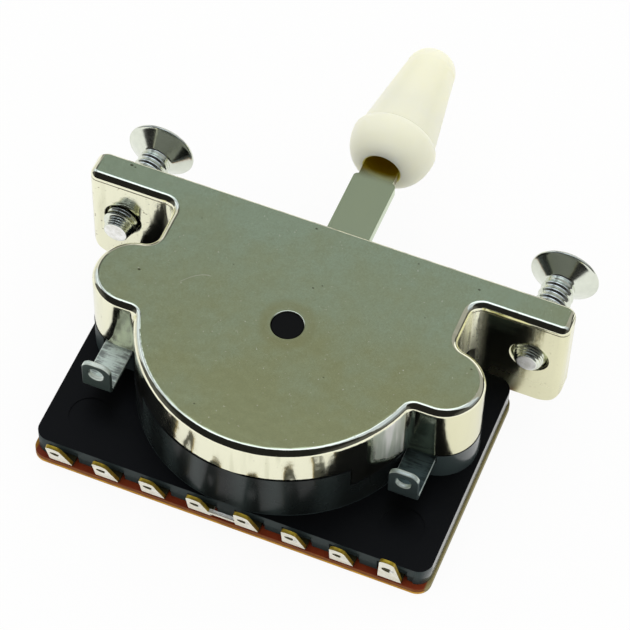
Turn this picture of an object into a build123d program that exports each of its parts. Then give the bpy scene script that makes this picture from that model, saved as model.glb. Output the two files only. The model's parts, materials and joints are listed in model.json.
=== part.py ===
from build123d import *
import math
import os

# Five-position lever selector switch for an electric guitar, lying on its contact board.
# Millimetres. Origin: pivot axis at the underside of the board. +X runs along the long
# edge, +Y towards the lever's tip, +Z from the board up to the metal cover.

# Fits
running = 0.05
easy = 0.1

# Stack, from the board upwards
board_thickness = 0.8
plate_thickness = 2.2
lobe_height = 3.28
drum_height = 5.78
lever_rise = 4.6
front_skirt_depth = 4.32
wall = 1.0

# Rotor, and the drum that grows round it
rotor_radius = 8.8
spring_room = 2.1
spigot_wall = 2.05
spigot_height = 1.1
base_step = 0.1
journal_radius = 1.458
lower_journal_radius = 1.95
shoulder_radius = 3.0
step_angle = 14.0
notch_radius = 0.68

# Cover: lobes with riveted posts, neck, and two threaded ears
lobe_offset = 1.3
lobe_y = -0.08
lobe_radius = 3.8
neck_inset = 0.47
rear_room = 2.16
ear_thickness = 3.01
ear_margin = 3.45
ear_drop = 6.25
ear_corner = 2.4
top_edge = 0.7
rear_edge = 0.25
pivot_chamfer = 0.12
tap_chamfer = 0.25
front_sector_half_angle = 47.0
post_radius = 1.5
post_head_radius = 2.05
post_head_height = 0.55

# Housing plate and contact board
plate_overlap = 0.02
plate_margin = 4.25
plate_corner = 1.4
board_lip = 0.54
board_side_lip = 0.16
rear_gap = 0.14
tongue_inset = 0.15
tongue_gap = 0.23
peg_radius = 0.6
peg_inset = 2.41
front_relief = 0.15
front_relief_top = 1.05
mark_radius = 2.05
mark_depth = 0.08
mark_inset = 4.0

# Terminals
row_margin = 3.25
row_shift = -0.2
strip_thickness = 0.35
strip_width = 1.4
pad_width = 1.7
pad_half_angle = 11.5
common_half_angle = 36.0
finger_spacing = 3.0
lug_width = 2.25
lug_top_width = 1.35
lug_length = 5.1
lug_lean = 20.0
last_lug_lean = 14.5
lug_bend = 0.35
lug_hole_radius = 0.6
lug_hole_height = 2.9
link_start = 0.9
link_height = 0.75

# Ground tags
tag_thickness = 0.5
tag_width = 2.9
tag_sink = 1.13
tag_reach = 4.65
tag_rise = 3.95
tag_hole_radius = 0.75
tag_hole_drop = 1.4
tag_ring_radius = 2.4

# Mounting screws
screw_spacing = 41.3
thread_radius = 1.74
screw_length = 11.1
head_radius = 3.38
head_edge = 0.2
head_cone = 1.3
head_rise = 0.95
collar_radius = 1.42
left_screw_out = 6.35
right_screw_out = 7.35
cross_width = 0.7
cross_length = 3.6

# Lever and knob
lever_width = 4.33
lever_thickness = 1.2
lever_tail = 2.6
shoulder_width = 0.4
shoulder_y = 22.6
anchor_radius = 1.1
knob_gap = 1.6
grip_depth = 7.5
knob_length = 15.7
knob_mouth_radius = 2.0
knob_base_radius = 4.3
knob_base_height = 3.5
knob_root_radius = 3.95
knob_tip_radius = 2.54
knob_dome = 2.3

# Wipers, detent spring and thrust washer
wiper_thickness = 0.25
finger_width = 1.0
wiper_seat = 0.7
stake_radius = 0.6
spring_thickness = 0.3
spring_width = 3.6
spring_nose = 1.5
spring_splay = 14.4
spring_grip = 0.8
washer_radius = 3.2
washer_thickness = 0.35

# Levels worked out from the stack
plate_top = board_thickness + plate_thickness
strip_top = board_thickness + strip_thickness
lobe_top = plate_top + lobe_height
drum_top = plate_top + drum_height
spigot_top = drum_top + spigot_height
lever_axis = plate_top + lever_rise
lever_low = lever_axis - lever_thickness / 2
lever_high = lever_axis + lever_thickness / 2
lobe_skirt_bottom = lobe_top + running
front_skirt_bottom = drum_top + running
cover_height = front_skirt_bottom + front_skirt_depth
roof = cover_height - wall
washer_low = roof - running - washer_thickness
rotor_top = washer_low - running
rear_wall_bottom = lever_high + 6 * easy
ear_bottom = lever_axis - ear_drop
tag_level = lobe_top - tag_sink

# Plan sizes worked out from the rotor outwards
chamber_radius = rotor_radius + spring_room
drum_radius = chamber_radius + spigot_wall + easy + wall
base_radius = drum_radius + base_step
lobe_x = drum_radius + lobe_offset
neck_half_width = lobe_x - neck_inset
cover_rear = rotor_radius + rear_room + wall
ear_front = cover_rear - ear_thickness
screw_x = screw_spacing / 2
ear_half_span = screw_x + ear_margin
plate_front = drum_radius + plate_overlap
plate_rear = ear_front - rear_gap
plate_half_width = lobe_x + plate_margin
board_front = plate_front + board_lip
tongue_rear = cover_rear - tongue_gap
tongue_half_width = neck_half_width - tongue_inset
contact_radius = rotor_radius - 0.6
common_radius = contact_radius - finger_spacing
wiper_radius = (contact_radius + common_radius) / 2
wiper_back = rotor_radius / 2 - 0.4
bypass_x = lobe_x - post_head_radius - 1.0
terminal_pitch = 2 * (plate_half_width - row_margin) / 7
peg_y = -(board_front - peg_inset)
swing = math.radians(2 * step_angle)
window_half_width = cover_rear * math.tan(swing) + (lever_width / 2 + 3 * easy) / math.cos(swing)
tip_width = lever_width - 2 * shoulder_width
knob_start = shoulder_y + knob_gap
tip_end = knob_start + grip_depth


def slab(y_low, y_high):
    """Wide flat rectangle between two values of Y."""
    return Pos(0, (y_low + y_high) / 2) * Rectangle(4 * screw_x, y_high - y_low)


def box(x0, x1, y0, y1, z0, z1):
    """Box from its six limits."""
    return Pos((x0 + x1) / 2, (y0 + y1) / 2, (z0 + z1) / 2) * Box(abs(x1 - x0), y1 - y0, z1 - z0)


def post(x, y, r, z0, z1):
    """Upright cylinder between two levels."""
    return Pos(x, y, (z0 + z1) / 2) * Cylinder(r, z1 - z0)


def prism(face, z0, z1):
    """Flat face carried up from one level to another."""
    return extrude(Pos(0, 0, z0) * face, amount=z1 - z0)


def bent_strip(x, width, points, thickness, bend):
    """Sheet metal strip bent in the plane of Y and Z, centred on x."""
    profile = trace(FilletPolyline(*points, radius=bend), line_width=thickness)
    plane = Plane(origin=(x, 0, 0), x_dir=(0, 1, 0), z_dir=(1, 0, 0))
    return extrude(plane * profile, amount=width / 2, both=True)


def upright(face, x, depth):
    """Outline drawn in X and Z, cut through everything in front of the pivot."""
    plane = Plane(origin=(x, 0, 0), x_dir=(1, 0, 0), z_dir=(0, -1, 0))
    return extrude(plane * face, amount=depth)


def on_circle(radius, degrees):
    """Point on a circle about the pivot."""
    a = math.radians(degrees)
    return radius * math.cos(a), radius * math.sin(a)


def ring_segment(radius, width, start, end):
    """Flat ring segment about the pivot, angles in degrees."""
    low = radius - width / 2
    high = radius + width / 2
    middle = (start + end) / 2
    outer = ThreePointArc(on_circle(high, start), on_circle(high, middle), on_circle(high, end))
    inner = ThreePointArc(on_circle(low, end), on_circle(low, middle), on_circle(low, start))
    return make_face(outer + Line(outer @ 1, inner @ 0) + inner + Line(inner @ 1, outer @ 0))


def round_corners(face, points, radius):
    """Round the corners of a face that lie nearest to the given points."""
    for x, y in points:
        corner = min(face.vertices(), key=lambda v: math.hypot(v.X - x, v.Y - y))
        face = fillet(corner, radius)
    return face


def mirrored(x, y):
    """The same point on both sides of the middle."""
    return [(-x, y), (x, y)]


def cover_face(ears, rear):
    """Cover outline from above: drum, two lobes and neck back to a rear line, with or
    without the ears."""
    low = lobe_y - lobe_radius
    face = Circle(drum_radius)
    for side in (-1, 1):
        face += Pos(side * lobe_x, lobe_y) * Circle(lobe_radius)
        face += Pos(side * lobe_x * 0.75, (low + lobe_y) / 2) * Rectangle(lobe_x / 2, lobe_y - low)
    face += Pos(0, rear / 2) * Rectangle(2 * neck_half_width, rear)
    face = face & slab(-2 * drum_radius, rear)
    if ears:
        face += Pos(0, (ear_front + rear) / 2) * Rectangle(2 * ear_half_span, rear - ear_front)
    face = make_face(face.faces()[0].outer_wire())
    meets_drum = math.sqrt(drum_radius ** 2 - low ** 2)
    meets_neck = lobe_y + math.sqrt(lobe_radius ** 2 - neck_inset ** 2)
    face = round_corners(face, mirrored(meets_drum, low), 0.8)
    face = round_corners(face, mirrored(neck_half_width, meets_neck), 1.3)
    if ears:
        face = round_corners(face, mirrored(neck_half_width, ear_front), 1.2)
        face = round_corners(face, mirrored(ear_half_span, ear_front), 0.9)
        face = round_corners(face, mirrored(ear_half_span, rear), 1.2)
    return face


def front_wedge(half_angle):
    """Wedge of the front of the drum, from the pivot outwards."""
    far = 3 * drum_radius
    a = math.radians(half_angle)
    x = far * math.sin(a)
    y = -far * math.cos(a)
    return make_face(Polyline((0, 0), (x, y), (x, -far), (-x, -far), (-x, y), (0, 0)))


def ear_corner_cut(side):
    """What the round lower corner of one ear takes off."""
    x = side * (ear_half_span - ear_corner)
    z = ear_bottom + ear_corner
    out = side * (ear_half_span + 1)
    block = box(min(x, out), max(x, out), ear_front - 1, cover_rear + 1, ear_bottom - 1, z)
    return block - Pos(x, ear_front, z) * Rot(90, 0, 0) * Cylinder(ear_corner, 4 * ear_thickness)


def rounded_block(face, radius):
    """Full height block of the cover with one radius round its top edge."""
    solid = prism(face, ear_bottom, cover_height)
    return fillet(solid.edges().filter_by(lambda e: e.bounding_box().min.Z > cover_height - 0.01), radius)


def make_cover():
    """Cover: a plated casting with a roof, a skirt of three depths, two threaded ears
    and two posts that are riveted over under the board. Its top edge is well rounded
    except along the rear, where the dies part."""
    far = 2 * drum_radius
    solid = rounded_block(cover_face(True, cover_rear + 3 * top_edge), top_edge)
    solid = solid & rounded_block(cover_face(True, cover_rear), rear_edge)
    solid -= box(-2 * screw_x, 2 * screw_x, -far, ear_front, 0, lobe_skirt_bottom)
    solid -= box(-neck_half_width, neck_half_width, ear_front - 1, far, 0, rear_wall_bottom)
    solid -= prism(front_wedge(front_sector_half_angle), 0, front_skirt_bottom)
    for side in (-1, 1):
        solid -= ear_corner_cut(side)
    solid -= prism(offset(cover_face(False, cover_rear), amount=-wall), 0, roof)
    hole = journal_radius + running
    solid -= post(0, 0, hole, 0, 2 * cover_height)
    solid -= Pos(0, 0, cover_height) * Cone(hole, hole + 2 * pivot_chamfer, 2 * pivot_chamfer)
    for side in (-1, 1):
        x = side * lobe_x
        solid += post(x, lobe_y, post_radius, post_head_height / 2, roof + wall / 4)
        solid += Pos(x, lobe_y, post_head_height / 2) * Cone(post_head_radius, post_radius, post_head_height)
        tap = thread_radius + running / 2
        bore = Cylinder(tap, 4 * ear_thickness)
        flare = Cone(tap, tap + 2 * tap_chamfer, 2 * tap_chamfer)
        solid -= Pos(side * screw_x, cover_rear, lever_axis) * Rot(90, 0, 0) * bore
        solid -= Pos(side * screw_x, ear_front, lever_axis) * Rot(90, 0, 0) * flare
        solid -= Pos(side * screw_x, cover_rear, lever_axis) * Rot(-90, 0, 0) * flare
    return solid


def terminal_x(number):
    """Centre of each solder lug along the row."""
    return row_shift + (number - 4.5) * terminal_pitch


def track_faces(number, grow):
    """Flat parts of one terminal: its pad under the wiper and the strip out to the lug.
    grow widens them for the channel in the housing."""
    x = terminal_x(number)
    side = -1 if number < 4.5 else 1
    straight = 180 if side < 0 else 0
    front = -(board_front - 0.2)
    turn = peg_y + 3.6
    middle = straight
    if number in (4, 5):
        half = common_half_angle
        arc = ring_segment(common_radius, strip_width + grow, middle - half, middle + half)
        start = on_circle(common_radius, middle - side * (half - 1))
        path = [start, (x, start[1] - 2.6), (x, front)]
    else:
        order = {3: -1, 2: 0, 1: 1, 6: -1, 7: 0, 8: 1}[number]
        middle += side * order * 2 * step_angle
        half = pad_half_angle
        arc = ring_segment(contact_radius, pad_width + grow, middle - half, middle + half)
        start = on_circle(contact_radius, middle)
        past = side * (contact_radius + 1.9)
        bypass = side * bypass_x
        if order == -1:
            path = [start, (x, start[1] - 2.6), (x, front)]
        elif order == 0:
            path = [start, (past, -0.6), (past, -5.2), (x, turn), (x, front)]
        else:
            path = [start, (past, start[1] + 0.9), (bypass, start[1] - 1.4)]
            path += [(bypass, -4.4), (x, turn), (x, front)]
    return [arc] + list(trace(Polyline(*path), line_width=strip_width + grow).faces())


def lug_plane(x, lean):
    """Plane in the middle of a lug's sheet: X across it, Y up it from the board's edge."""
    a = math.radians(lean)
    origin = (x, strip_thickness / 2 - board_front, board_thickness + strip_thickness / 2)
    return Plane(origin=origin, x_dir=(1, 0, 0), z_dir=(0, -math.cos(a), -math.sin(a)))


def make_lug(x, lean):
    """Solder lug: the strip's end turned up and leaning outwards, narrower towards its
    round top, with a hole."""
    level = board_thickness + strip_thickness / 2
    corner = strip_thickness / 2 - board_front
    a = math.radians(lean)
    top = (corner - lug_length * math.sin(a), level + lug_length * math.cos(a))
    points = [(corner + 1.2, level), (corner, level), top]
    solid = bent_strip(x, lug_width, points, strip_thickness, lug_bend)
    b = lug_width / 2
    c = lug_top_width / 2
    end = lug_length - easy
    outline = make_face(Polyline((-b, -b), (b, -b), (b, b / 2), (c, end), (-c, end), (-b, b / 2), (-b, -b)))
    outline = round_corners(outline, mirrored(c, end), 0.85 * c)
    plane = lug_plane(x, lean)
    solid = solid & extrude(plane * outline, amount=2 * lug_width, both=True)
    hole = extrude(plane * Pos(0, lug_hole_height) * Circle(lug_hole_radius), amount=1, both=True)
    return solid - hole


def make_terminal(numbers):
    """One stamping: pads and strips lying on the board, lugs at the front edge. The two
    middle lugs are one piece, joined by an upright link."""
    solid = Part()
    for number in numbers:
        for face in track_faces(number, 0):
            solid += prism(face, board_thickness, strip_top)
        lean = last_lug_lean if number == 8 else lug_lean
        solid += make_lug(terminal_x(number), lean)
        solid -= post(terminal_x(number), peg_y, peg_radius + running, 0, plate_top)
    if len(numbers) == 2:
        middle = (terminal_x(numbers[0]) + terminal_x(numbers[1])) / 2
        face = Pos(0, link_start + link_height / 2) * Rectangle(terminal_pitch - lug_width / 2, link_height)
        solid += extrude(lug_plane(middle, lug_lean) * face, amount=strip_thickness / 2, both=True)
    return solid


def make_board():
    """Phenolic contact board with holes for the rotor, the pegs and the riveted posts."""
    face = Pos(0, (plate_rear - board_front) / 2) * RectangleRounded(
        2 * (plate_half_width + board_side_lip), plate_rear + board_front, plate_corner
    )
    face += Pos(0, tongue_rear / 2) * Rectangle(2 * tongue_half_width, tongue_rear)
    solid = prism(face, 0, board_thickness)
    solid -= post(0, 0, lower_journal_radius + running, -1, 2 * board_thickness)
    for side in (-1, 1):
        x = side * lobe_x
        solid -= post(x, lobe_y, post_radius + running, -1, 2 * board_thickness)
        sink = Cone(post_head_radius + running, post_radius + running, post_head_height)
        solid -= Pos(x, lobe_y, post_head_height / 2) * sink
    for number in range(1, 9):
        solid -= post(terminal_x(number), peg_y, peg_radius + running, -1, 2 * board_thickness)
    return solid


def spring_arm_end():
    """Far end of the detent spring's right arm, in its groove, and the arm's direction."""
    dx, dy = on_circle(1, spring_splay)
    x0 = spring_nose
    y0 = -(rotor_radius + 0.95)
    along = x0 * dx + y0 * dy
    reach = (chamber_radius + spring_grip) ** 2 - x0 ** 2 - y0 ** 2
    s = math.sqrt(along ** 2 + reach) - along
    return x0 + s * dx, y0 + s * dy


def make_housing():
    """Black moulding: rectangular plate, drum and two lobes, with the contact chamber,
    the channels for the terminals, the seats of the ground tags and the lever's window."""
    high = 2 * cover_height
    tongue = Pos(0, tongue_rear / 2) * Rectangle(2 * tongue_half_width, tongue_rear)
    plate = Pos(0, (plate_rear - plate_front) / 2) * RectangleRounded(
        2 * plate_half_width, plate_rear + plate_front, plate_corner
    )
    solid = prism(plate + tongue, board_thickness, plate_top)
    flat = plate_half_width - plate_corner
    relief_top = board_thickness + front_relief_top
    solid -= box(-flat, flat, -2 * plate_front, front_relief - plate_front, 0, relief_top)

    low = lobe_y - lobe_radius
    base = Circle(base_radius)
    for side in (-1, 1):
        base += Pos(side * lobe_x, lobe_y) * Circle(lobe_radius + running)
        base += Pos(side * lobe_x * 0.75, (low + lobe_y) / 2) * Rectangle(lobe_x / 2, lobe_y - low)
    base = base & (slab(-plate_front, plate_rear) + tongue)
    solid += prism(base, plate_top, lobe_top)

    # The spigot stands inside the cover, and the drum's front under the short skirt
    limits = slab(-plate_front, tongue_rear)
    inside = offset(cover_face(False, cover_rear), amount=-(wall + easy))
    spigot = Circle(drum_radius - wall - easy) & inside & limits
    solid += prism(spigot, lobe_top - easy, spigot_top)
    front = (Circle(base_radius) & limits) & front_wedge(front_sector_half_angle - 0.6)
    solid += prism(front, lobe_top - easy, drum_top)

    # Marks of the ejector pins in the two front corners of the plate
    for side in (-1, 1):
        x = side * (plate_half_width - mark_inset)
        solid -= post(x, mark_inset - plate_front, mark_radius, plate_top - mark_depth, 2 * plate_top)

    # Chamber, open to the board, and the window that the lever swings in
    solid -= post(0, 0, chamber_radius, 0, high)
    rear_inside = cover_rear - wall - 3 * easy
    solid -= box(-lobe_x, lobe_x, rear_inside, 2 * cover_rear, rear_wall_bottom - easy, high)
    window = window_half_width
    solid -= box(-window, window, rotor_radius / 2, 2 * cover_rear, lever_low - 2 * easy, high)

    for number in range(1, 9):
        x = terminal_x(number)
        for face in track_faces(number, 2 * easy):
            solid -= prism(face, 0, strip_top + running)
        solid += post(x, peg_y, peg_radius, 0, strip_top + 3 * easy)
        wide = lug_width / 2 + 0.35
        snug = lug_width / 2 + easy
        solid -= box(x - wide, x + wide, -2 * plate_front, 0.45 - plate_front, 0, plate_top - 0.45)
        solid -= box(x - snug, x + snug, -2 * plate_front, 0.9 - plate_front, 0, strip_top + running)

    for side in (-1, 1):
        solid -= post(side * lobe_x, lobe_y, post_radius + running, 0, high)
        solid -= post(side * lobe_x, lobe_y, tag_ring_radius + easy, tag_level, high)
        half = tag_width / 2 + easy
        solid -= box(tag_x(side) - half, tag_x(side) + half, -2 * plate_front, lobe_y, tag_level, high)
        x, y = spring_arm_end()
        groove = Box(2.4, spring_thickness + 2 * easy, spring_width + 2 * easy)
        middle = Pos(side * (x - 0.9), y - 0.9 * math.tan(math.radians(spring_splay)), spring_axis())
        solid -= middle * Rot(0, 0, side * spring_splay) * groove
    return solid


def tag_x(side):
    """Centre of each ground tag; they come out a little to the left of their posts."""
    return side * lobe_x + (-0.2 if side < 0 else -0.5)


def make_tag(side):
    """Ground tag: zinc-plated strip, its ring under a cover post, its end turned up."""
    x = tag_x(side)
    level = tag_level + tag_thickness / 2
    top = tag_level + tag_rise
    end = lobe_y - lobe_radius - tag_reach + tag_thickness / 2
    solid = bent_strip(x, tag_width, [(-2.0, level), (end, level), (end, top)], tag_thickness, 0.45)
    solid = solid & upright(RectangleRounded(tag_width, 2 * top, 0.95), x, -2 * end)
    hole = Cylinder(tag_hole_radius, 4 * tag_thickness)
    solid -= Pos(x, end, top - tag_hole_drop) * Rot(90, 0, 0) * hole
    solid += post(side * lobe_x, lobe_y, tag_ring_radius, tag_level, tag_level + tag_thickness)
    half = tag_width / 2
    solid += box(x - half, x + half, -2.6, -0.4, tag_level, tag_level + tag_thickness)
    return solid - post(side * lobe_x, lobe_y, post_radius + running, 0, 2 * cover_height)


def make_screw(side, out):
    """Mounting screw: thin-rimmed raised head with a cross recess, shank modelled plain.
    out is how far the rim stands off the ears."""
    rim = cover_rear + out
    tip = rim - screw_length
    neck = rim - head_edge - head_cone
    crown = rim + head_rise
    profile = Polyline(
        (0, tip),
        (thread_radius - 0.45, tip),
        (thread_radius, tip + 0.45),
        (thread_radius, neck - 0.7),
        (collar_radius, neck - 0.4),
        (collar_radius, neck),
        (head_radius, rim - head_edge),
        (head_radius, rim),
    )
    dome = ThreePointArc((head_radius, rim), (head_radius * 0.55, rim + head_rise * 0.76), (0, crown))
    solid = revolve(make_face(profile + dome + Line((0, crown), (0, tip))), Axis.Y)
    depth = 2 * head_rise
    cross = Box(cross_length, depth, cross_width) + Box(cross_width, depth, cross_length)
    solid -= Pos(0, crown + depth / 2 - 1.2, 0) * Rot(0, 45, 0) * cross
    return Pos(side * screw_x, 0, lever_axis) * solid


def blade_face():
    """Lever blade from above: wide blade, rounded shoulders, narrower tip."""
    w = lever_width / 2
    n = tip_width / 2
    face = Pos(0, (shoulder_y - lever_tail) / 2) * Rectangle(2 * w, shoulder_y + lever_tail)
    face = round_corners(face, mirrored(w, shoulder_y), 0.45)
    face += Pos(0, tip_end / 2) * RectangleRounded(2 * n, tip_end, 0.8)
    return face


def make_lever():
    """Flat steel lever; the rotor's plastic fills the hole at its inner end."""
    return prism(blade_face(), lever_low, lever_high) - post(0, 0, anchor_radius, 0, 2 * lever_axis)


def make_knob():
    """Moulded tapered knob, round, pushed on the lever's tip."""
    end = knob_start + knob_length
    brim = knob_start + knob_base_height
    root = brim + 0.4
    shoulder = end - knob_dome
    arc = EllipticalCenterArc(
        (knob_mouth_radius, brim), knob_base_radius - knob_mouth_radius, knob_base_height, 270, arc_size=90
    )
    side = Polyline(
        (knob_base_radius, brim),
        (knob_base_radius - 0.12, brim + 0.25),
        (knob_root_radius, root),
        (knob_tip_radius, shoulder),
    )
    dome_radius = (knob_tip_radius ** 2 + knob_dome ** 2) / (2 * knob_dome)
    rise = math.degrees(math.asin((dome_radius - knob_dome) / dome_radius))
    dome = CenterArc((0, end - dome_radius), dome_radius, rise, 90 - rise)
    close = Polyline((0, end), (0, knob_start), (knob_mouth_radius, knob_start))
    solid = revolve(make_face(arc + side + dome + close), Axis.Y)
    bore_radius = math.hypot(tip_width / 2, lever_thickness / 2) + running / 5
    bore_length = tip_end - knob_start + 2 * easy
    solid -= Pos(0, knob_start + bore_length / 2, 0) * Rot(90, 0, 0) * Cylinder(bore_radius, bore_length)
    return Pos(0, 0, lever_axis) * solid


def make_rotor():
    """Nylon rotor moulded round the lever, turning in the cover and in the board, with
    five detent notches in its front rim and a seat for a wiper on each side."""
    low = plate_top + 4 * easy
    seat = plate_top + wiper_seat
    solid = post(0, 0, rotor_radius, low, rotor_top)
    solid += post(0, 0, shoulder_radius, board_thickness + running, low)
    solid += post(0, 0, lower_journal_radius, easy, low)
    solid += post(0, 0, journal_radius, rotor_top, cover_height - 0.12)
    for i in range(-2, 3):
        x, y = on_circle(rotor_radius + 0.15, i * step_angle - 90)
        solid -= post(x, y, notch_radius, 0, 2 * cover_height)
    solid -= make_lever()
    for side in (-1, 1):
        x = side * wiper_radius
        half = (finger_spacing + finger_width) / 2 + 0.45
        solid -= box(x - half, x + half, -1.2, wiper_back + 0.2, 0, seat)
        solid += post(x, wiper_back - 1.1, stake_radius, seat - 2 * wiper_thickness, seat)
    return solid


def make_wiper(side):
    """Bronze wiper staked under the rotor: two sprung fingers, one on the common arc and
    one on the outer contacts."""
    t = wiper_thickness
    seat = plate_top + wiper_seat - t / 2
    touch = strip_top + running + t / 2
    back = wiper_back
    points = [(back, seat), (back - 2.1, seat), (0.25, touch), (-0.25, touch), (-0.8, touch + 0.45)]
    solid = Part()
    for radius in (common_radius, contact_radius):
        solid += bent_strip(side * radius, finger_width, points, t, 0.2)
    x = side * wiper_radius
    half = (finger_spacing + finger_width) / 2
    solid += box(x - half, x + half, back - 2.1, back, seat - t / 2, seat + t / 2)
    return solid - post(x, back - 1.1, stake_radius + running / 5, 0, plate_top + 2 * wiper_seat)


def spring_axis():
    """Height of the middle of the detent spring."""
    return plate_top + 3.4


def make_spring():
    """Detent leaf spring: ends in grooves of the housing, nose in the rotor's notch."""
    x, y = spring_arm_end()
    root = -(rotor_radius + 0.95)
    nose = -(rotor_radius - 0.25)
    path = FilletPolyline((-x, y), (-spring_nose, root), (0, nose), (spring_nose, root), (x, y), radius=0.4)
    leaf = trace(path, line_width=spring_thickness).faces()[0]
    return prism(leaf, spring_axis() - spring_width / 2, spring_axis() + spring_width / 2)


def make_washer():
    """Thrust washer on the rotor's journal, under the roof of the cover."""
    return prism(Circle(washer_radius) - Circle(journal_radius + 3 * running), washer_low, roof - running)


pieces = {
    "cover": make_cover(),
    "housing": make_housing(),
    "contact_board": make_board(),
    "common_terminal": make_terminal([4, 5]),
    "ground_tag_left": make_tag(-1),
    "ground_tag_right": make_tag(1),
    "mounting_screw_left": make_screw(-1, left_screw_out),
    "mounting_screw_right": make_screw(1, right_screw_out),
    "lever": make_lever(),
    "knob": make_knob(),
    "rotor": make_rotor(),
    "wiper_left": make_wiper(-1),
    "wiper_right": make_wiper(1),
    "detent_spring": make_spring(),
    "thrust_washer": make_washer(),
}
for number in (1, 2, 3, 6, 7, 8):
    pieces[f"terminal_{number}"] = make_terminal([number])

os.makedirs("parts", exist_ok=True)
for name, solid in pieces.items():
    export_step(solid, f"parts/{name}.step")
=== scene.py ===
import bmesh
import bpy
import json
import math
import numpy as np
from mathutils import Matrix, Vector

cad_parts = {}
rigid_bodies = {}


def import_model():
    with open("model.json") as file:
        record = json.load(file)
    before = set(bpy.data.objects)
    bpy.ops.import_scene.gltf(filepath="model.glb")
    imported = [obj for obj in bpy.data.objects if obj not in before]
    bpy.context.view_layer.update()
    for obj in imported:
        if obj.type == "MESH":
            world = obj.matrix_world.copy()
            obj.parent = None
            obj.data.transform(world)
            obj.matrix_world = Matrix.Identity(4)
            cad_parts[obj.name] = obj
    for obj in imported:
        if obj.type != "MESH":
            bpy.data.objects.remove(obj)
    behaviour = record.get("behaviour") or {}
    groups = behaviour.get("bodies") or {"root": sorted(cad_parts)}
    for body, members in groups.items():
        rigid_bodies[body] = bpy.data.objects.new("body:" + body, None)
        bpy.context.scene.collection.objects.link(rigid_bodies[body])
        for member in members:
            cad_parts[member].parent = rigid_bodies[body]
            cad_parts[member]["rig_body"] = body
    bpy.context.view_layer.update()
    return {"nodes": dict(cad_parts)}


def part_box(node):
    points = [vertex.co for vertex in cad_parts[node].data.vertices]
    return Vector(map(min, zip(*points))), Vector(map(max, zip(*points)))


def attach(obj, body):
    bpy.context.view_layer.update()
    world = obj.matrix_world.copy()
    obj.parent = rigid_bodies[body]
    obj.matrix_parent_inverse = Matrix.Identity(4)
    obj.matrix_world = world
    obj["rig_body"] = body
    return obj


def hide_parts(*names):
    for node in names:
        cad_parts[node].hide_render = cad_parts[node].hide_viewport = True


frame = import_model()
nodes = frame["nodes"]
MM = 0.001

# Cover. A zinc die casting with a roof, a skirt and two ears, nickel plated bright over
# everything; handling has dulled the flat top to a satin olive grey.


class Shade:
    """A shader socket; Python operators on it add Math nodes to its material."""

    def __init__(self, paint, socket):
        self.paint = paint
        self.socket = socket

    def maths(self, operation, *values):
        return self.paint.add("ShaderNodeMath", {"operation": operation}, dict(enumerate(values)))

    def __add__(self, other):
        return self.maths("ADD", self, other)

    def __radd__(self, other):
        return self.maths("ADD", other, self)

    def __sub__(self, other):
        return self.maths("SUBTRACT", self, other)

    def __rsub__(self, other):
        return self.maths("SUBTRACT", other, self)

    def __mul__(self, other):
        return self.maths("MULTIPLY", self, other)

    def __rmul__(self, other):
        return self.maths("MULTIPLY", other, self)

    def __pow__(self, other):
        return self.maths("POWER", self, other)

    def __mod__(self, other):
        return self.maths("MODULO", self, other)

    def __abs__(self):
        return self.maths("ABSOLUTE", self)

    def clear_of(self, low, high):
        """0 below low, 1 above high, eased between them."""
        settings = {"interpolation_type": "SMOOTHSTEP"}
        inputs = {"Value": self, "From Min": low, "From Max": high}
        return self.paint.add("ShaderNodeMapRange", settings, inputs)

    def limit(self):
        """No less than 0 and no more than 1."""
        return self.maths("MINIMUM", self.maths("MAXIMUM", self, 0.0), 1.0)


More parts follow.
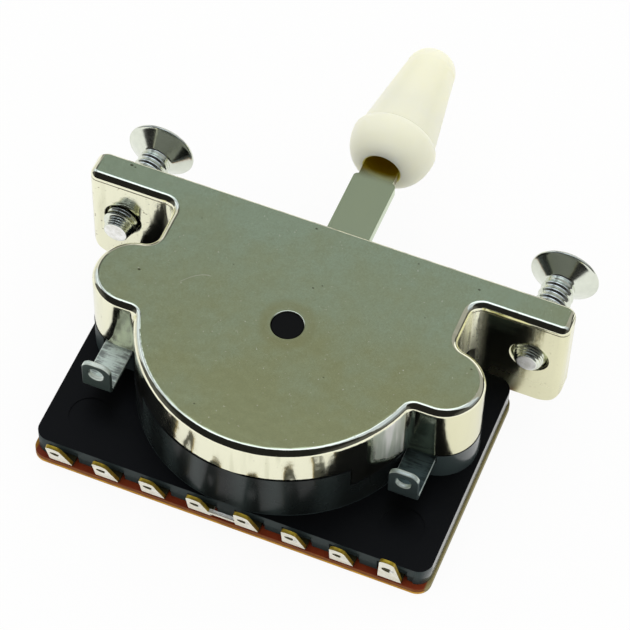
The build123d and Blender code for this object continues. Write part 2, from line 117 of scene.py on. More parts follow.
class Paint:
    """One finish: a Principled shader with its constants, and the nodes that vary it."""

    def __init__(self, name, **constants):
        self.material = bpy.data.materials.new(name)
        self.material.use_nodes = True
        self.tree = self.material.node_tree
        self.shader = self.tree.nodes["Principled BSDF"]
        for socket, value in constants.items():
            self.shader.inputs[socket.replace("_", " ")].default_value = value
        self.where = self.add("ShaderNodeTexCoord", {}, {}, "Object")
        self.mm = self.scaled(1 / MM)

    def add(self, kind, settings, inputs, output=0):
        """One node: its type, its settings, and a value or a link for each socket."""
        node = self.tree.nodes.new(kind)
        for key, value in settings.items():
            setattr(node, key, value)
        for key, value in inputs.items():
            if isinstance(value, Shade):
                self.tree.links.new(value.socket, node.inputs[key])
            else:
                node.inputs[key].default_value = value
        return Shade(self, node.outputs[output])

    def scaled(self, x, y=None, z=None):
        """Object coordinates times a factor for each axis."""
        factors = (x, x if y is None else y, x if z is None else z)
        return self.add("ShaderNodeVectorMath", {"operation": "MULTIPLY"}, {0: self.where, 1: factors})

    def axes(self, vector):
        """The three parts of a vector."""
        node = self.tree.nodes.new("ShaderNodeSeparateXYZ")
        self.tree.links.new(vector.socket, node.inputs[0])
        return [Shade(self, output) for output in node.outputs]

    def facing(self):
        """The three parts of the surface's direction, before any bump."""
        return self.axes(self.add("ShaderNodeTexCoord", {}, {}, "Normal"))

    def noise(self, vector, size, detail=2.0, rough=0.5, seed=0.0):
        """Cloudy noise from 0 to 1, its features about size across, in the vector's units."""
        settings = {"noise_dimensions": "4D"}
        inputs = {"Vector": vector, "W": seed, "Scale": 1 / size, "Detail": detail, "Roughness": rough}
        return self.add("ShaderNodeTexNoise", settings, inputs)

    def mix(self, factor, a, b):
        """Colour a where factor is 0, b where it is 1."""
        a, b = [c if isinstance(c, Shade) else (*c, 1) for c in (a, b)]
        return self.add("ShaderNodeMix", {"data_type": "RGBA"}, {0: factor, 6: a, 7: b}, 2)

    def feed(self, **sockets):
        """Links values to the shader's sockets, spaces written as underscores."""
        for socket, value in sockets.items():
            self.tree.links.new(value.socket, self.shader.inputs[socket.replace("_", " ")])

    def bump(self, height, depth_mm, strength=1.0, normal=None):
        """A normal tilted by a height from 0 to 1 that stands depth_mm high."""
        inputs = {"Height": height, "Distance": depth_mm * MM, "Strength": strength}
        if normal is not None:
            inputs["Normal"] = normal
        return self.add("ShaderNodeBump", {}, inputs)

    def on(self, *objects):
        """Gives the finish to objects, in every slot they have."""
        for piece in objects:
            if not piece.data.materials:
                piece.data.materials.append(self.material)
            for slot in piece.material_slots:
                slot.material = self.material


def srgb(r, g, b):
    """Linear colour of an 8-bit screen colour."""
    parts = []
    for c in (r, g, b):
        c = c / 255
        parts.append(c / 12.92 if c <= 0.04045 else ((c + 0.055) / 1.055) ** 2.4)
    return tuple(parts)


def softened(node, radius, segments=2, angle=35):
    """A copy of a CAD node whose sharp edges are rounded by a small radius, in millimetres:
    its loose triangles are welded, flat faces joined up, and a bevel follows the edges that
    turn by more than the angle."""
    source = nodes[node]
    mesh = source.data.copy()
    mesh.name = node + "_skin"
    shape = bmesh.new()
    shape.from_mesh(mesh)
    bmesh.ops.remove_doubles(shape, verts=shape.verts, dist=0.0004 * MM)
    flatness = math.radians(0.6)
    bmesh.ops.dissolve_limit(shape, angle_limit=flatness, verts=shape.verts, edges=shape.edges)
    shape.to_mesh(mesh)
    shape.free()
    mesh.materials.clear()
    piece = bpy.data.objects.new(node + "_skin", mesh)
    bpy.context.scene.collection.objects.link(piece)
    bevel = piece.modifiers.new("edges", "BEVEL")
    bevel.width = radius * MM
    bevel.segments = segments
    bevel.limit_method = "ANGLE"
    bevel.angle_limit = math.radians(angle)
    bevel.use_clamp_overlap = True
    bevel.miter_outer = "MITER_ARC"
    mesh.shade_smooth()
    weighted = piece.modifiers.new("shading", "WEIGHTED_NORMAL")
    weighted.keep_sharp = False
    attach(piece, source["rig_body"])
    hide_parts(node)
    return piece


def box_mm(node):
    """The two corners of a CAD node's box, in millimetres."""
    return np.array([[float(v) for v in corner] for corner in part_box(node)]) / MM


def axis_of(node):
    """X and Z of the middle of a CAD node's box, in millimetres."""
    low, high = box_mm(node)
    return float(low[0] + high[0]) / 2, float(low[2] + high[2]) / 2


def nickel_cover():
    """The flat top is mottled, bluish towards the back and olive towards the front, with
    dark specks, white dots and one curved scratch. The sides mirror like chrome, with slow
    waves, faint upright smears and brown pits, and are satin between the drum and the right
    lobe and in the corners of the ears. The line where the dies met runs just below the
    ears' rounded edge, a ring of painted shade round the left tapped hole stands for its
    shadow and the screw's dark side mirrored there, and the back edge has worn brown in places."""
    paint = Paint("nickel_cover")
    mm = paint.mm
    x, y, z = paint.axes(mm)
    facing = paint.facing()[2]
    flat = facing.clear_of(0.98, 0.998)
    wall = 1 - abs(facing).clear_of(0.1, 0.3)
    clouds = paint.noise(mm, 6.0, 3.0, 0.55, 3.0)
    blotches = paint.noise(mm, 1.4, 3.0, 0.6, 8.0)
    grain = paint.noise(mm, 0.22, 3.0, 0.7, 2.0)
    mottling = (clouds - 0.5) * 1.3 + (blotches - 0.5) * 0.7 + (grain - 0.5) * 0.5
    olive = (0.6 - y * 0.045 + x * 0.008 + mottling).limit()
    top = paint.mix(olive, srgb(191, 211, 182), srgb(188, 194, 147))
    pivot = (x * x + y * y) ** 0.5
    halo = 1 - abs(pivot - 2.2 + (blotches - 0.5) * 1.2).clear_of(0.15, 0.9)
    top = paint.mix(halo * 0.4, top, srgb(176, 174, 120))
    dull = (blotches * 0.3 + grain * 0.7).clear_of(0.35, 0.75)
    top = paint.mix(dull * 0.2, top, srgb(130, 138, 104))
    specks = 0
    for px, py, size in (
        (-15.0, 0.5, 0.15), (0.6, 4.75, 0.1), (1.3, 5.3, 0.09), (-1.65, 11.2, 0.13),
        (14.8, 10.5, 0.13), (8.6, 11.1, 0.09), (-20.6, 11.4, 0.17), (-20.2, 11.3, 0.1),
        (-4.4, -11.2, 0.09), (5.2, -4.1, 0.08), (-12.0, 8.2, 0.07), (11.3, 5.6, 0.07),
        (17.2, 1.9, 0.09), (-7.2, 4.4, 0.07),
    ):
        reach = ((x - px) * (x - px) + (y - py) * (y - py) * 2) ** 0.5 + grain * 0.1
        specks = specks + (1 - reach.clear_of(size, size + 0.09))
    top = paint.mix(specks.limit() * 0.85, top, srgb(76, 70, 44))
    off_scratch = abs(y - 2.35 + (x + 8.6) ** 2 * 0.3).clear_of(0.02, 0.07)
    scratch = 1 - (off_scratch + abs(x + 9.8).clear_of(1.1, 1.35)).limit()
    dots = paint.noise(mm, 0.25, 1.0, 0.5, 21.0).clear_of(0.73, 0.77)
    top = paint.mix((dots + scratch * 0.7).limit() * 0.6, top, srgb(250, 250, 236))
    ears = wall * y.clear_of(8.0, 8.5) * (1 - y.clear_of(9.4, 9.6))
    pits = paint.noise(mm, 0.3, 2.0, 0.6, 31.0).clear_of(0.7 - ears * 0.06, 0.76 - ears * 0.06)
    smears = paint.noise(paint.scaled(1000, 1000, 120), 0.9, 2.0, 0.5, 6.0)
    side = paint.mix(smears.clear_of(0.5, 0.75) * 0.45, srgb(246, 245, 218), srgb(206, 206, 176))
    side = paint.mix(pits * 0.8, side, srgb(118, 104, 58))
    yellowed = wall * x.clear_of(15.5, 17.5)
    side = paint.mix(yellowed * 0.8, side, srgb(234, 231, 194))
    seam = ears * (1 - abs(z - 12.36).clear_of(0.02, 0.08)) * smears.clear_of(0.15, 0.45)
    side = paint.mix(seam * 0.85, side, srgb(86, 76, 40))
    # Painted shade: a dark ring round the left tapped hole stands for the hole's shadow and for the
    # screw's dark side mirrored in the ear.
    tap_x, tap_z = axis_of("mounting_screw_right")
    reach = ((abs(x) - tap_x) ** 2 + (z - tap_z) ** 2) ** 0.5 + grain * 0.16
    painted_screw_shade = y.clear_of(8.0, 8.5) * (1 - y.clear_of(9.4, 9.6)) * (1 - reach.clear_of(1.96, 2.1))
    painted_screw_shade = painted_screw_shade * (1 - x.clear_of(-1.0, 1.0))
    side = paint.mix(painted_screw_shade, side, srgb(26, 26, 20))
    back = wall * y.clear_of(11.9, 11.95)
    side = paint.mix(back, side, srgb(136, 140, 132))
    # Painted shade: the wall of the pivot hole is painted dark, all but its far rim.
    far_rim = y.clear_of(0.3, 1.2)
    bore = paint.mix(pivot.clear_of(1.54, 1.6), srgb(50, 54, 42), srgb(150, 156, 122))
    side = paint.mix((1 - pivot.clear_of(1.75, 1.85)) * (1 - far_rim), side, bore)
    worn = paint.noise(paint.scaled(700, 2000, 2000), 1.0, 2.0, 0.6, 14.0).clear_of(0.5, 0.6)
    worn = worn * y.clear_of(11.74, 11.84) * z.clear_of(12.7, 12.9)
    side = paint.mix(worn * 0.6, side, srgb(110, 96, 62))
    satin = wall * (x + (smears - 0.5) * 1.6).clear_of(11.3, 12.1) * (1 - x.clear_of(13.25, 13.4))
    satin = satin * (1 - y.clear_of(-3.5, -3.0))
    satin = satin * (z + (x - 11.5) * 1.43 + blotches * 0.8).clear_of(9.0, 9.6)
    frosting = paint.mix(smears.clear_of(0.35, 0.65), srgb(255, 255, 250), srgb(196, 204, 188))
    side = paint.mix(satin, side, frosting)
    rough = 0.04 + flat * (0.13 + blotches * 0.05) + wall * (0.03 + grain * 0.05 + smears * 0.05)
    rough = rough + yellowed * (0.02 + 0.16 * (1 - z.clear_of(3.0, 7.0))) + back * 0.3
    rough = rough + satin * (0.2 + blotches * 0.3)
    frost = wall * (1 - (abs(x) + (grain - 0.5) * 1.2).clear_of(15.3, 16.6))
    frost = frost * y.clear_of(5.0, 6.0) * (1 - y.clear_of(9.2, 9.4)) * smears.clear_of(0.3, 0.6)
    metal = 1 - satin * (0.2 + blotches * 0.3) - frost * 0.4
    paint.feed(Base_Color=paint.mix(flat, side, top), Roughness=rough + frost * 0.2, Metallic=metal)
    waves = paint.bump(paint.noise(mm, 1.3, 1.0, 0.4, 4.0), 0.028)
    upright_waves = paint.bump(smears, 0.016, wall, waves)
    ripples = paint.bump(grain, 0.0035, 1.0, upright_waves)
    paint.feed(Normal=paint.bump(1 - seam, 0.03, 1.0, ripples))
    return paint


nickel_cover().on(softened("cover", 0.1, 2, 50))

# Housing. One black plastic moulding: plate, drum and lobes, held under the cover by the
# cover's two posts. The flats keep the satin of the mould.


def housing_black():
    """Near black. Its upright faces are painted a little lighter for the light they catch,
    those to the right are polished, and the drum's wall carries broad upright bands of painted reflection."""
    paint = Paint("housing_black", IOR=1.5, Specular_IOR_Level=0.14, Coat_Roughness=0.15)
    x, y, z = paint.axes(paint.mm)
    facing = paint.facing()
    mark = (((abs(x) - 15.6) ** 2 + (y + 10.07) ** 2) ** 0.5).clear_of(2.2, 2.4)
    wall = (1 - abs(facing[2]).clear_of(0.2, 0.5)) * mark
    reach = (x * x + y * y) ** 0.5
    drum = wall * reach.clear_of(13.9, 14.05) * (1 - reach.clear_of(14.3, 14.6)) * z.clear_of(3.0, 3.2)
    fine = paint.noise(paint.mm, 0.12, 2.0, 0.5, 1.0)
    clouds = paint.noise(paint.mm, 3.0, 3.0, 0.5, 5.0)
    # Painted reflections: broad upright bands on the drum's wall stand for the room mirrored in it.
    reflection_bands = 0
    for place, half, strength in (
        (-9.8, 1.3, 0.5), (-6.3, 1.5, 0.6), (-3.2, 1.3, 1.0),
        (1.2, 1.7, 0.9), (4.3, 1.7, 0.85), (8.6, 1.6, 0.45),
    ):
        along = abs(x - place) + clouds * 0.7 - 0.35
        reflection_bands = reflection_bands + (1 - along.clear_of(0.0, half)) * strength
    black = paint.mix(clouds, (0.0012, 0.0015, 0.0017), (0.003, 0.0034, 0.0037))
    # Painted light: upright faces, all but round the ejector marks, are painted lighter, and the drum's
    # wall by less.
    lit = paint.mix(wall, black, (0.036, 0.05, 0.05))
    lit = paint.mix(drum, lit, (0.009, 0.0115, 0.011))
    paint.feed(Base_Color=paint.mix(reflection_bands * drum * 0.75, lit, (0.042, 0.056, 0.054)))
    paint.feed(Roughness=0.42 + 0.1 * clouds - drum * 0.2, Coat_Weight=facing[0].clear_of(0.4, 0.9))
    paint.feed(Normal=paint.bump(fine, 0.004, 0.35 * (1 - drum)))
    return paint


housing_black().on(softened("housing", 0.05))

# Contact board. Red-brown phenolic sheet, sheared to size and pegged under the housing. Its
# edge is lighter than its face and shows the layers.


def phenolic():
    """The layers run along the edge, palest at the bottom. The two short sides and their
    narrow lips are dull yellow."""
    paint = Paint("phenolic", Roughness=0.5, Specular_IOR_Level=0.2)
    x, y, z = paint.axes(paint.mm)
    facing = abs(paint.facing()[2])
    fibres = paint.noise(paint.scaled(700, 700, 9000), 1.0, 3.0, 0.6, 4.0).clear_of(0.35, 0.65)
    face = paint.mix(fibres, srgb(112, 40, 16), srgb(124, 50, 20))
    edge = paint.mix(fibres, srgb(104, 48, 0), srgb(140, 80, 4))
    pale = paint.mix(fibres, srgb(172, 112, 16), srgb(228, 176, 44))
    edge = paint.mix(1 - z.clear_of(0.2, 0.4), edge, pale)
    skin = paint.mix(facing.clear_of(0.3, 0.7), edge, face)
    skin = paint.mix(x.clear_of(19.3, 19.55), skin, srgb(140, 130, 84))
    paint.feed(Base_Color=paint.mix((0 - x).clear_of(19.3, 19.55), skin, srgb(150, 106, 24)))
    return paint


phenolic().on(softened("contact_board", 0.06))

# Terminals. Brass stampings, tinned all over except where the shears cut them, so their
# edges stay yellow. The two middle ones are a single stamping.


def tinned():
    """Tin on the two faces of the sheet and over the link, bare brass on its sheared edges.
    The lugs lean out by 20 degrees, so a face is told by how squarely it looks along that
    lean. Inside each lug's hole, a pitch from the next, painted shade darkens the left half and painted
    light whitens the right."""
    paint = Paint("tinned_brass")
    mm = paint.mm
    facing = paint.facing()
    lean = math.radians(20)
    x, y, z = paint.axes(mm)
    face = abs(facing[1] * math.cos(lean) + facing[2] * math.sin(lean)).clear_of(0.75, 0.95)
    link = 1 - abs(x + 0.2).clear_of(1.2, 1.3)
    face = face + (1 - face) * link
    foot = 1 - z.clear_of(1.25, 1.45) * (1 - y.clear_of(-14.3, -14.1))
    clouds = paint.noise(mm, 0.8, 3.0, 0.6, 2.0)
    tin = paint.mix(clouds.clear_of(0.3, 0.7), srgb(250, 249, 238), srgb(236, 232, 214))
    brass = paint.mix(clouds.clear_of(0.3, 0.7), srgb(196, 168, 52), srgb(158, 132, 40))
    pitch, first_lug = 4.672, -16.55
    beside = (x - first_lug + pitch / 2) % pitch - pitch / 2
    # Painted shade and light inside each lug's hole: dark on its left half, white on its right.
    punched = (1 - abs(beside).clear_of(0.6, 0.64)) * (1 - abs(z - 3.7).clear_of(0.6, 0.66))
    inside = paint.mix(beside.clear_of(0.05, 0.2), srgb(70, 62, 26), srgb(255, 255, 248))
    skin = paint.mix(foot * (1 - face), paint.mix(face, brass, tin), srgb(92, 88, 62))
    skin = paint.mix(punched * (1 - face), skin, inside)
    metal = 0.8 * (1 - punched * (1 - face))
    paint.feed(Base_Color=skin, Roughness=0.4 + 0.12 * clouds, Metallic=metal)
    return paint


terminal_paint = tinned()
for name in ("common_terminal", *(f"terminal_{number}" for number in (1, 2, 3, 6, 7, 8))):
    terminal_paint.on(softened(name, 0.05))

# Ground tags. Zinc plated strip with the grain of the plating across it, riveted between
# the housing and the cover's lobes.


def zinc(node, metallic, top, front):
    """Each tag has a painted highlight along its rounded edges, and the left one also down its middle.
    Its front is darkened with painted shade, and the dulled top of the right one is darker."""
    paint = Paint(node + "_zinc", Metallic=metallic)
    x, y, z = paint.axes(paint.mm)
    thickness = 0.5
    upper_face = float(box_mm(node)[0][2]) + thickness
    # Painted highlight down the middle of the tag.
    middle_highlight = 1 - abs(x - axis_of(node)[0] + 0.2).clear_of(0.2, 1.1)
    flange = 1 - z.clear_of(upper_face + 0.1, upper_face + 0.3)
    facing = paint.facing()[2]
    grain = paint.noise(paint.scaled(500, 5200, 1400), 1.0, 3.0, 0.65, 2.0)
    clouds = paint.noise(paint.mm, 0.9, 3.0, 0.6, 7.0)
    mottle = (grain * 0.6 + clouds * 0.4 - middle_highlight * 0.1).clear_of(0.38, 0.56)
    flat = paint.mix(mottle, srgb(*top), srgb(*[int(c * 0.6) for c in top]))
    # Painted highlight: all but the flat top is painted bright, which lights the rounded edges.
    rim = paint.mix(mottle, srgb(226, 236, 226), srgb(184, 196, 188))
    skin = paint.mix(facing.clear_of(0.96, 0.995) * flange, rim, flat)
    # Painted shade: the front is painted darker.
    skin = paint.mix(facing.clear_of(0.08, 0.4), srgb(*front), skin)
    paint.feed(Base_Color=skin)
    paint.feed(Roughness=0.26 + 0.2 * grain + 0.05 * clouds, Normal=paint.bump(grain, 0.03, 1.0))
    return paint


# Each tag's metallic level, its top colour, and its front colour, which is darkened as painted shade.
zinc("ground_tag_left", 0.2, (232, 248, 238), (66, 78, 74)).on(softened("ground_tag_left", 0.14, 3))
zinc("ground_tag_right", 0.75, (92, 110, 108), (84, 98, 98)).on(softened("ground_tag_right", 0.14, 3))

# Mounting screws. Nickel plated machine screws with a rolled thread of 32 turns to the
# inch, a thin-rimmed raised head and a cross recess, screwed through the cover's ears.


def closed_surface(name, first, rows, last):
    """Mesh of a tube of points (rows, around, 3) closed at both ends by a point each.
    Its faces are turned to point outwards if the tube was given inside out."""
    count, around = rows.shape[:2]
    vertices = np.vstack([[first], rows.reshape(-1, 3), [last]]) * MM
    i, j = np.meshgrid(np.arange(count - 1), np.arange(around), indexing="ij")
    a = 1 + i * around + j
    b = 1 + i * around + (j + 1) % around
    quads = np.stack([a, b, b + around, a + around], axis=-1).reshape(-1, 4)
    ring = np.arange(around)
    final = len(vertices) - 1
    start = np.stack([np.zeros_like(ring), 1 + (ring + 1) % around, 1 + ring], axis=-1)
    low = final - around
    stop = np.stack([np.full_like(ring, final), low + ring, low + (ring + 1) % around], axis=-1)
    corners = vertices[quads]
    volume = np.einsum("ij,ij->i", corners[:, 0], np.cross(corners[:, 1], corners[:, 2])).sum()
    volume += np.einsum("ij,ij->i", corners[:, 0], np.cross(corners[:, 2], corners[:, 3])).sum()
    if volume < 0:
        quads, start, stop = quads[:, ::-1], start[:, ::-1], stop[:, ::-1]
    mesh = bpy.data.meshes.new(name)
    mesh.from_pydata(vertices.tolist(), [], quads.tolist() + start.tolist() + stop.tolist())
    mesh.shade_smooth()
    piece = bpy.data.objects.new(name, mesh)
    bpy.context.scene.collection.objects.link(piece)
    return piece


def eased(value, low, high):
    """0 below low, 1 above high, with a smooth step between."""
    t = np.clip((value - low) / (high - low), 0, 1)
    return t * t * (3 - 2 * t)


def around_y(radius, along, turn, x, z):
    """Points of a body turned about an axis along Y through x and z."""
    return np.stack([x + radius * np.cos(turn), along + 0 * turn, z + radius * np.sin(turn)], axis=-1)


def screw(node, face_radius, bevel):
    """The radius along the screw is that of its rolled thread, a rounded ridge that climbs
    one pitch a turn, cut down at the tip by a cone with turning rings; then the collar, the
    cone of the head, the rim and a low dome. The recess sinks the dome where either arm of
    a cross passes."""
    low, high = box_mm(node)
    x, z = axis_of(node)
    tip, crown = low[1], high[1]
    head_radius = (high[0] - low[0]) / 2
    rise, depth, collar = 0.95, 1.5, 1.5
    rim = crown - rise
    pitch, crest, root = 25.4 / 32, 1.69, 1.54
    turn = np.linspace(0, 2 * np.pi, 72, endpoint=False)[None, :]

    y = np.arange(tip + 0.03, rim - depth - 0.05, pitch / 20)[:, None]
    phase = (y / pitch - turn / (2 * np.pi)) % 1
    ridge = (0.5 + 0.5 * np.cos(2 * np.pi * phase)) ** 1.3
    thread = root + (crest - root) * ridge
    run_out = eased(y, rim - 2.3, rim - 1.6)
    thread = thread * (1 - run_out) + collar * run_out
    past = y - tip
    rings = 0.05 * np.cos(2 * np.pi * past / 0.24) * (past < 0.9)
    cone = face_radius + bevel * np.minimum(past, 0.3) + 0.28 * np.maximum(past - 0.3, 0)
    cone = cone + rings + 3 * np.maximum(past - 0.95, 0)
    thread = np.minimum(thread, cone)
    shank = around_y(thread, y, turn, x, z)
    across = face_radius * np.array([[0.4], [0.8], [0.98], [1.0]])
    face = around_y(across, np.array([[tip], [tip], [tip], [tip + 0.01]]), turn, x, z)

    edge, soft = 0.28, 0.12
    steps = np.linspace(0, 1, 11, endpoint=False)[:, None]
    wide = head_radius - 0.1
    under = around_y(collar + (wide - collar) * steps, rim - depth + (depth - edge) * steps, turn, x, z)
    lift = np.linspace(0, np.pi / 2, 5)[:, None]
    lower = around_y(wide + 0.1 * np.sin(lift), rim - edge + 0.1 * (1 - np.cos(lift)), turn, x, z)
    upper = around_y(head_radius - soft * (1 - np.cos(lift)), rim - soft + soft * np.sin(lift), turn, x, z)

    out = np.linspace(head_radius - 0.16, 0.04, 60)[:, None]
    u = out * np.cos(turn + np.pi / 4)
    v = out * np.sin(turn + np.pi / 4)
    pit = 0
    for a, b in ((u, v), (v, u)):
        arm = (1 - eased(np.abs(b), 0.28, 0.48)) * (1 - eased(np.abs(a), 1.25, 1.9))
        pit = np.maximum(pit, arm)
    dome = rim + rise * (1 - (out / head_radius) ** 2.2)
    top = dome - 1.5 * pit
    crown_rows = np.stack([x + out * np.cos(turn), top, z + out * np.sin(turn)], axis=-1)
    rows = np.concatenate([face, shank, under, lower, upper, crown_rows])
    piece = closed_surface(node + "_threaded", (x, tip, z), rows, (x, top[-1, 0], z))
    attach(piece, "base")
    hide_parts(node)
    return piece


def screw_plate():
    """Bright plate; the sawn end of each screw is bare, and that of the right one dull."""
    paint = Paint("screw_plate", Metallic=1.0)
    x = paint.axes(paint.mm)[0]
    sawn = (0 - paint.facing()[1]).clear_of(0.97, 0.995)
    clouds = paint.noise(paint.mm, 0.7, 3.0, 0.6, 2.0)
    plate = paint.mix(clouds, srgb(240, 244, 230), srgb(214, 219, 206))
    scuffed = paint.mix(clouds.clear_of(0.35, 0.65), srgb(255, 255, 253), srgb(232, 232, 226))
    paint.feed(Base_Color=paint.mix(sawn, plate, scuffed))
    rough = 0.1 + 0.12 * clouds + sawn * x.clear_of(-1.0, 1.0) * 0.35
    paint.feed(Roughness=rough, Normal=paint.bump(clouds, 0.01, 0.3))
    return paint


screw_paint = screw_plate()
screw_paint.on(screw("mounting_screw_left", 1.17, 0.2), screw("mounting_screw_right", 1.04, 0.85))

# Rotor and its springs. Black nylon rotor; only the end of its journal shows, in the hole
# of the cover. Bronze wipers, a steel detent spring and a steel washer work inside.


def black_moulding(name, level, rough):
    """Clouded black with the fine grain of its mould."""
    paint = Paint(name, IOR=1.46, Specular_IOR_Level=0.14)
    fine = paint.noise(paint.mm, 0.12, 2.0, 0.5, 1.0)
    clouds = paint.noise(paint.mm, 3.0, 3.0, 0.5, 5.0)
    light = tuple(c * 1.5 for c in level)
    paint.feed(Base_Color=paint.mix(clouds, level, light), Roughness=rough + 0.08 * clouds)
    paint.feed(Normal=paint.bump(fine, 0.004, 0.4))
    return paint


def bare_metal(name, a, b, rough):
    """Plain metal, clouded between two colours."""
    paint = Paint(name, Metallic=1.0)
    clouds = paint.noise(paint.mm, 0.6, 3.0, 0.6, 2.0)
    paint.feed(Base_Color=paint.mix(clouds, srgb(*a), srgb(*b)), Roughness=rough + 0.1 * clouds)
    return paint


black_moulding("rotor_black", (0.001, 0.0012, 0.001), 0.45).on(nodes["rotor"])
bronze = bare_metal("spring_bronze", (206, 158, 104), (180, 130, 84), 0.25)
bronze.on(nodes["wiper_left"], nodes["wiper_right"])
steel = bare_metal("spring_steel", (176, 178, 180), (150, 152, 156), 0.25)
steel.on(nodes["detent_spring"], nodes["thrust_washer"])

# Lever. Flat strip steel, stamped with a shoulder each side just short of the knob, and
# plated like the cover. The rotor is moulded round its inner end.


def lever_steel():
    """Satin plate, with light from inside the knob colouring the end of the blade."""
    paint = Paint("lever_steel", Metallic=1.0)
    y = paint.axes(paint.mm)[1]
    clouds = paint.noise(paint.mm, 4.0, 3.0, 0.5, 2.0)
    grain = paint.noise(paint.scaled(3000, 400, 3000), 1.0, 2.0, 0.5, 9.0)
    plate = paint.mix(clouds * 0.6 + grain * 0.4, srgb(206, 222, 184), srgb(190, 206, 176))
    golden = (y + clouds * 0.5).clear_of(22.2, 23.9)
    paint.feed(Base_Color=paint.mix(golden, plate, srgb(112, 94, 22)), Roughness=0.14 + 0.08 * clouds)
    return paint


lever_steel().on(softened("lever", 0.12, 3))

# Knob. A cream moulding, slightly translucent, pushed on the tip of the lever: a round
# base with a mouth for the blade, a crease, and a long taper to a domed end.


def knob():
    """A turned body: its bore, the lip of its mouth, a quarter ellipse out to the brim, the
    crease, the taper and a round end, each a stretch of the same profile."""
    low, high = box_mm("knob")
    x, z = axis_of("knob")
    start, end = low[1], high[1]
    brim = (high[0] - low[0]) / 2
    mouth, bore, root, tip = 2.0, 1.85, 3.95, 2.54
    turn = np.linspace(0, 2 * np.pi, 128, endpoint=False)[None, :]
    t = np.linspace(0, 1, 24)[:, None]
    quarter = t * np.pi / 2
    stretches = [
        (bore * np.linspace(0.2, 1, 6)[:, None], np.full((6, 1), start + 7.6)),
        (np.full((8, 1), bore), start + 7.5 - 7.3 * np.linspace(0, 1, 8)[:, None]),
        (bore + (mouth - bore) * (1 - np.cos(quarter)), start + 0.15 * (1 - np.sin(quarter))),
        (mouth + (brim - mouth) * np.sin(quarter), start + 3.4 * (1 - np.cos(quarter))),
        (brim - 0.14 * (1 - np.cos(quarter)), start + 3.4 + 0.32 * np.sin(quarter)),
        (brim - 0.14 - (brim - 0.14 - root) * t, start + 3.74 + 0.1 * t),
        (root - 0.02 * np.sin(np.pi * t), start + 3.86 + 0.12 * t),
        (root + (tip - root) * t, start + 4.0 + (end - 2.3 - start - 4.0) * t),
        (tip * np.cos(quarter * 0.985), end - 2.3 + 2.3 * np.sin(quarter * 0.985)),
    ]
    rows = np.concatenate([around_y(r, y, turn, x, z) for r, y in stretches])
    piece = closed_surface("knob_moulding", (x, start + 7.6, z), rows, (x, end, z))
    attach(piece, "lever")
    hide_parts("knob")
    return piece


def cream():
    """Light spreads inside the moulding. A faint painted glow over the whole knob lifts its shaded
    side, and its bore is painted golden, with a golden painted glow, for light through the plastic."""
    paint = Paint("cream_knob", Subsurface_Weight=1.0, Subsurface_Scale=0.004, Emission_Strength=1.0)
    paint.shader.inputs["Subsurface Radius"].default_value = (1.0, 0.96, 0.75)
    x, y, z = paint.axes(paint.mm)
    clouds = paint.noise(paint.mm, 3.0, 2.0, 0.5, 2.0)
    bore_end = float(box_mm("knob")[0][1]) + 8.0
    inside = 1 - ((x * x + (z - axis_of("knob")[1]) ** 2) ** 0.5).clear_of(1.9, 2.05)
    inside = inside * (1 - y.clear_of(bore_end, bore_end + 0.4))
    skin = paint.mix(clouds, srgb(231, 230, 210), srgb(225, 224, 201))
    # Painted light: the bore is painted golden for the light that comes through the plastic.
    paint.feed(Base_Color=paint.mix(inside, skin, srgb(206, 190, 84)), Roughness=0.3 + 0.06 * clouds)
    # Painted glow: a faint emission over the whole knob, golden in its bore.
    paint.feed(Emission_Color=paint.mix(inside, (0.07, 0.07, 0.055), (0.05, 0.055, 0.008)))
    return paint


cream().on(knob())

# Table, sky and camera. A white card in a soft studio: diffuse light comes evenly from all
# round, and what the metal mirrors is a strip light overhead, grey walls, and the dark
# room behind the camera.

card = bpy.data.meshes.new("card")
card_left, card_right, card_front, card_back = -0.14, 0.14, -0.042, 0.2
corners = [(x, y, 0) for y in (card_front, card_back) for x in (card_left, card_right)]
card.from_pydata(corners, [], [(0, 1, 3, 2)])
floor = bpy.data.objects.new("card", card)
bpy.context.scene.collection.objects.link(floor)
paint = Paint("white_card", Roughness=0.9)
paint.shader.inputs["Base Color"].default_value = (0.9, 0.9, 0.88, 1)
camera_ray = paint.add("ShaderNodeLightPath", {}, {}, "Is Camera Ray")
glossy_ray = paint.add("ShaderNodeLightPath", {}, {}, "Is Glossy Ray")
white = paint.add("ShaderNodeEmission", {}, {"Color": (1, 1, 1, 1), "Strength": 1.0})
evened = camera_ray * 0.93 + glossy_ray * 0.65
painted = Shade(paint, paint.shader.outputs[0])
shown = paint.add("ShaderNodeMixShader", {}, {0: evened, 1: painted, 2: white})
paint.tree.links.new(shown.socket, paint.tree.nodes["Material Output"].inputs["Surface"])
paint.on(floor)


class Sky(Paint):
    """The world's node tree, with the same ways of adding nodes."""

    def __init__(self, world):
        world.use_nodes = True
        self.tree = world.node_tree


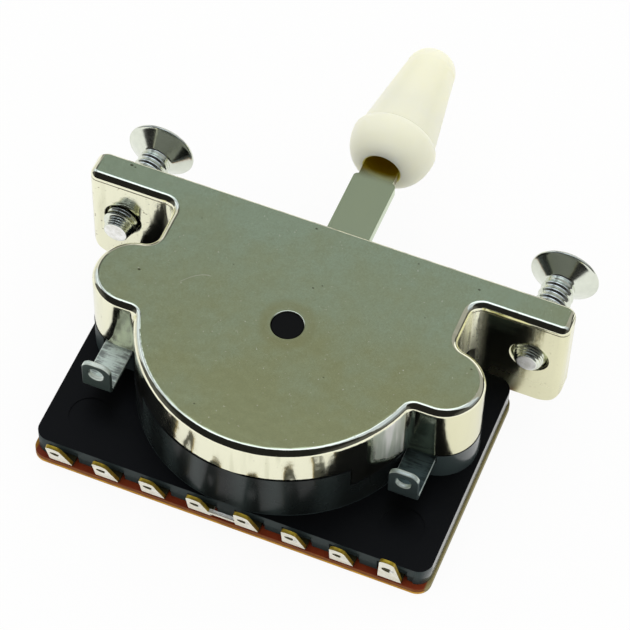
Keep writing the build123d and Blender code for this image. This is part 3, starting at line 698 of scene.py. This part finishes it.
bpy.context.scene.world = bpy.data.worlds.new("studio")
sky = Sky(bpy.context.scene.world)
direction = sky.add("ShaderNodeTexCoord", {}, {}, "Generated")
east, north, up = sky.axes(direction)
strip = north.clear_of(-0.1, -0.02) * (1 - north.clear_of(0.36, 0.42)) * up.clear_of(0.2, 0.4)
centre = 1 - abs(east + 0.12).clear_of(0.15, 0.5)
ends = 1 - abs(east).clear_of(0.7, 0.85)
west_wall = (1 - east.clear_of(-0.7, -0.62)) * north.clear_of(-0.1, 0.0) * (1 - north.clear_of(0.7, 0.85))
back_wall = north.clear_of(0.84, 0.88) * up.clear_of(0.04, 0.1)
grey = north.clear_of(-0.14, 0.0) * (0.2 + 0.16 * north.clear_of(0.3, 0.45)) * up.clear_of(0.12, 0.4)
dim_corner = (1 - east.clear_of(-0.42, -0.28)) * (1 - north.clear_of(0.56, 0.64))
grey = grey * (1 - 0.75 * dim_corner)
mirrored = 0.015 + strip * (0.5 + 0.7 * centre) * ends + grey
mirrored = mirrored + west_wall * 0.6 + back_wall * 0.85 + abs(east).clear_of(0.6, 0.9) * 0.08
soft = 0.85 + 0.25 * up + 0.15 * north
glossy_ray = sky.add("ShaderNodeLightPath", {}, {}, "Is Glossy Ray")
camera_ray = sky.add("ShaderNodeLightPath", {}, {}, "Is Camera Ray")
level = soft + (mirrored - soft) * glossy_ray
tint = sky.mix((strip * glossy_ray).limit(), (1, 1, 1), (0.82, 0.92, 1.14))
lit = sky.add("ShaderNodeBackground", {}, {"Color": tint, "Strength": level})
plain = sky.add("ShaderNodeBackground", {}, {"Color": (1, 1, 1, 1), "Strength": 1.0})
both = sky.add("ShaderNodeMixShader", {}, {0: camera_ray, 1: lit, 2: plain})
sky.tree.links.new(both.socket, sky.tree.nodes["World Output"].inputs["Surface"])

camera_at = (57.181, -146.096, 235.879)
camera_right = (0.92681104, 0.37502897, 0.01935397)
camera_up = (-0.31633193, 0.75190211, 0.5784266)
focal_pixels = 2986.9
picture = 630
camera_data = bpy.data.cameras.new("camera")
camera_data.sensor_width = 36
camera_data.lens = focal_pixels / picture * camera_data.sensor_width
camera_data.clip_start = 0.01
camera = bpy.data.objects.new("camera", camera_data)
back = np.cross(camera_right, camera_up)
turn = np.column_stack([camera_right, camera_up, back])
camera.matrix_world = Matrix.Translation([v * MM for v in camera_at]) @ Matrix(turn.tolist()).to_4x4()
bpy.context.scene.collection.objects.link(camera)
bpy.context.scene.camera = camera
bpy.context.scene.view_settings.view_transform = "Standard"
